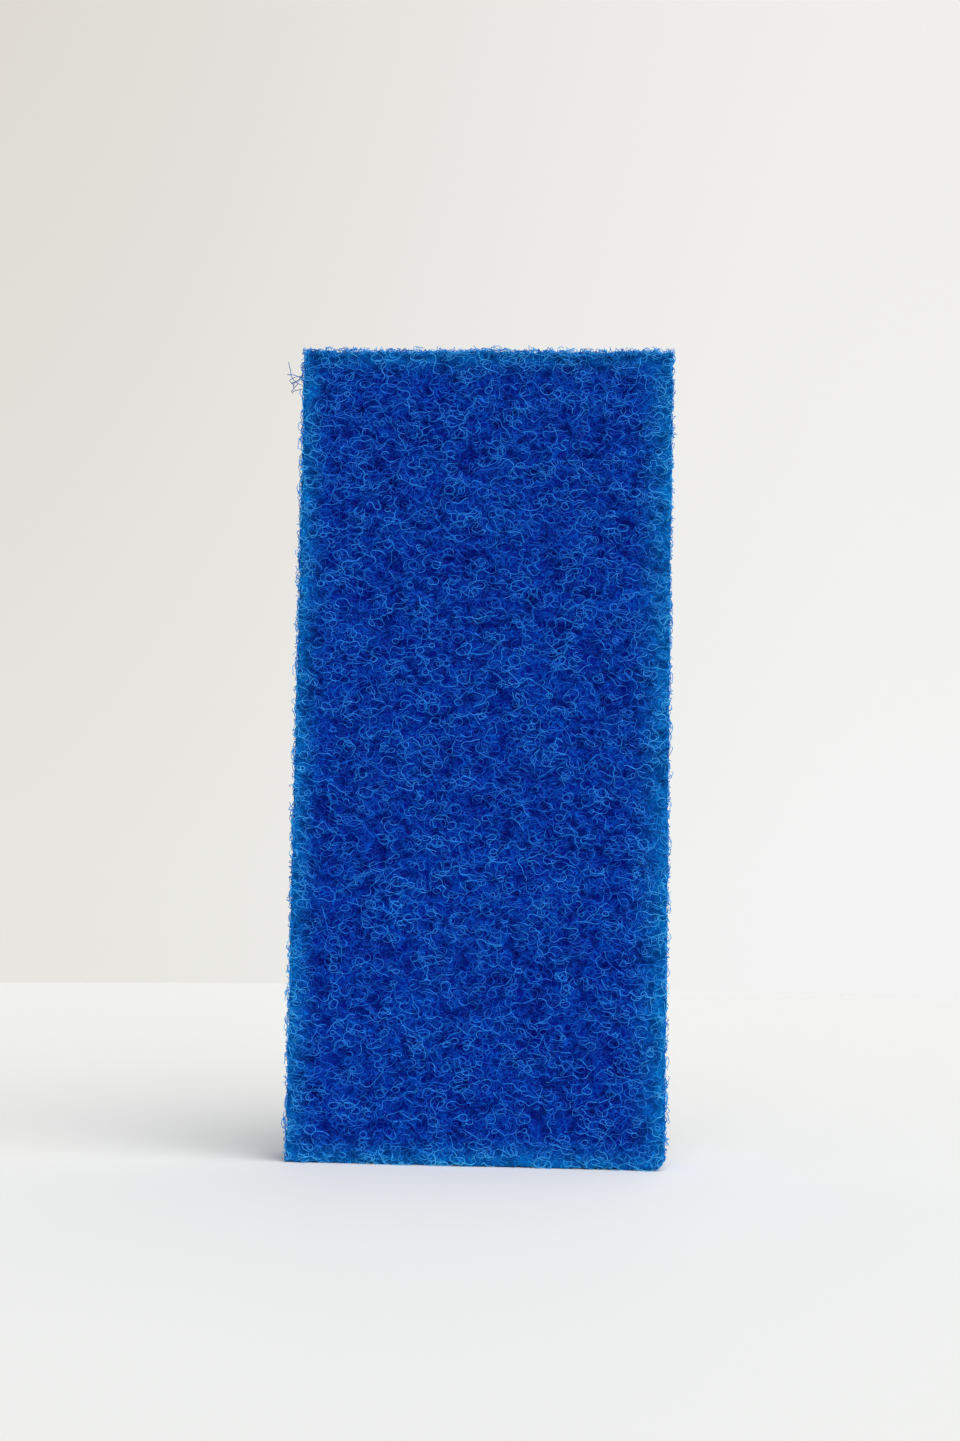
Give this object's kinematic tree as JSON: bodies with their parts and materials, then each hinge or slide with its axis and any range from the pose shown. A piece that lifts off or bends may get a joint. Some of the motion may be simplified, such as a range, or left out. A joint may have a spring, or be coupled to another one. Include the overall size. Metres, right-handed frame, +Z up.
{
  "type": "scrub pad",
  "caption": "Thick rectangular scrub pad of lofty non-woven fibre web, standing on a short edge, for hand use or a pad holder.",
  "frame": {"origin": "middle of the short edge that the pad stands on, at the foot", "axes": "+Z up the long side, +X along the short edge, +Y through the thickness from the scrubbing face to the gripped face"},
  "size_m": [0.117, 0.025, 0.254],
  "materials": {
    "fibre_web": "lofty non-woven web of crimped, resin-bonded nylon fibre, dyed blue"
  },
  "bodies": {
    "root": {"pad_web": "fibre_web"}
  },
  "joints": []
}
